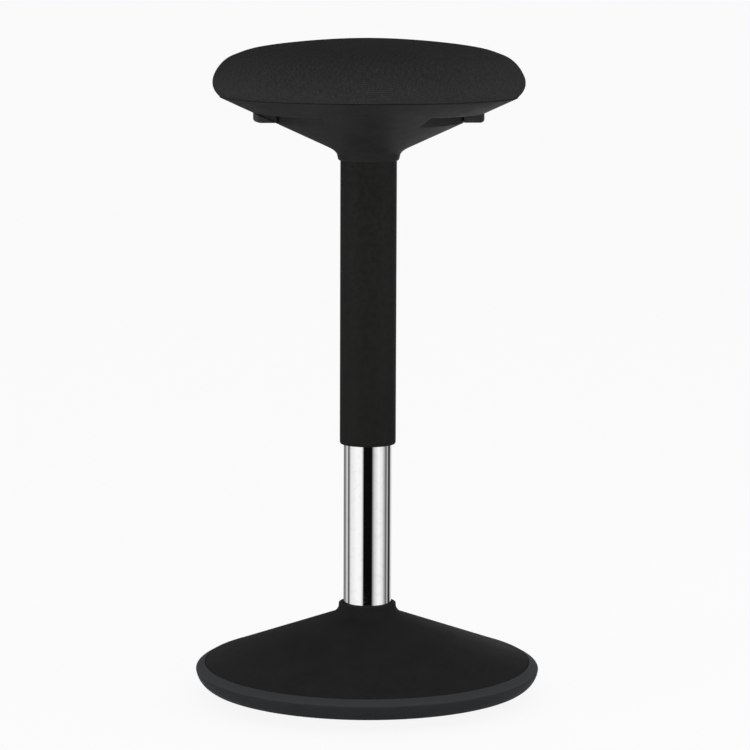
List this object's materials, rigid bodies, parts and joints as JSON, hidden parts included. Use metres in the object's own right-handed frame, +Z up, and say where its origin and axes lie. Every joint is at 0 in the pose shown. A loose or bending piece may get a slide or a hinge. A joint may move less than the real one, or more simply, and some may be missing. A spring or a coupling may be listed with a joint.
{
  "type": "wobble stool",
  "caption": "Round padded stool on a height-adjustable gas-lift column with two release levers and a weighted, domed base that rocks.",
  "frame": {"origin": "middle of the flat face that the stool rests on, under the domed base", "axes": "+Z up along the column; the two release levers point along -X and +X; the stool is seen from -Y in the picture"},
  "size_m": [0.36, 0.36, 0.6849],
  "materials": {
    "moulded": "black moulded plastic, fine matte grain",
    "rubber": "charcoal rubber, satin",
    "powder_coat": "black powder coat, satin",
    "chrome": "polished chrome plate",
    "cast_iron": "rough cast",
    "steel": "machined",
    "zinc": "zinc plated",
    "nylon": "natural nylon",
    "plywood": "birch plywood",
    "foam": "cut polyurethane foam",
    "fabric": "dark fine knit"
  },
  "bodies": {
    "base": {"base_shell": "moulded", "rim_ring": "rubber", "rocker_pan": "moulded", "floor_pad": "rubber", "ballast_plate": "cast_iron", "column_socket": "steel", "stand_tube": "chrome", "guide_bush": "nylon", "bearing_race_lower": "steel", "ballast_bolt_1": "zinc", "ballast_bolt_2": "zinc", "ballast_bolt_3": "zinc", "base_screw_1": "zinc", "base_screw_2": "zinc", "base_screw_3": "zinc", "base_screw_4": "zinc", "base_screw_5": "zinc", "base_screw_6": "zinc"},
    "lift_rod": {"piston_rod": "chrome", "piston": "nylon", "rod_bumper": "rubber", "rod_clip": "steel", "bearing_race_upper": "steel", "bearing_cage": "nylon", "bearing_ball_1": "steel", "bearing_ball_2": "steel", "bearing_ball_3": "steel", "bearing_ball_4": "steel", "bearing_ball_5": "steel", "bearing_ball_6": "steel"},
    "seat": {"gas_cylinder": "powder_coat", "pressure_tube": "steel", "cylinder_guide": "nylon", "cylinder_seal": "rubber", "valve_block": "nylon", "cover_tube": "powder_coat", "glide_ring": "nylon", "seat_housing": "moulded", "lift_bracket": "powder_coat", "pivot_pin_left": "steel", "pivot_pin_right": "steel", "seat_board": "plywood", "seat_foam": "foam", "seat_cover": "fabric", "bracket_bolt_1": "zinc", "bracket_bolt_2": "zinc", "bracket_bolt_3": "zinc", "bracket_bolt_4": "zinc", "tee_nut_1": "zinc", "tee_nut_2": "zinc", "tee_nut_3": "zinc", "tee_nut_4": "zinc", "housing_screw_1": "zinc", "housing_screw_2": "zinc", "housing_screw_3": "zinc", "housing_screw_4": "zinc"},
    "left_lever": {"lever_left": "moulded", "knuckle_pin": "steel"},
    "right_lever": {"lever_right": "moulded"},
    "button": {"release_button": "steel"}
  },
  "joints": [
    {"name": "seat_swivel", "type": "hinge", "parent": "base", "child": "lift_rod", "pos_m": [0, 0, 0.045], "axis": [0, 0, 1], "continuous": true},
    {"name": "height_slide", "type": "slide", "parent": "lift_rod", "child": "seat", "axis": [0, 0, 1], "range_m": [-0.15, 0.05]},
    {"name": "lever_left_lift", "type": "hinge", "parent": "seat", "child": "left_lever", "pos_m": [-0.03, 0, 0.6036], "axis": [0, 1, 0], "range_deg": [0, 7], "stiffness_Nm_per_rad": 2},
    {"name": "lever_right_lift", "type": "hinge", "parent": "seat", "child": "right_lever", "pos_m": [0.03, 0, 0.6036], "axis": [0, -1, 0], "range_deg": [0, 7]},
    {"name": "button_press", "type": "slide", "parent": "seat", "child": "button", "axis": [0, 0, -1], "range_m": [0, 0.0037]}
  ],
  "couplings": [
    {"joint": "lever_right_lift", "follows": "lever_left_lift", "ratio": 1},
    {"joint": "button_press", "follows": "lever_left_lift", "m_per_rad": 0.03}
  ]
}
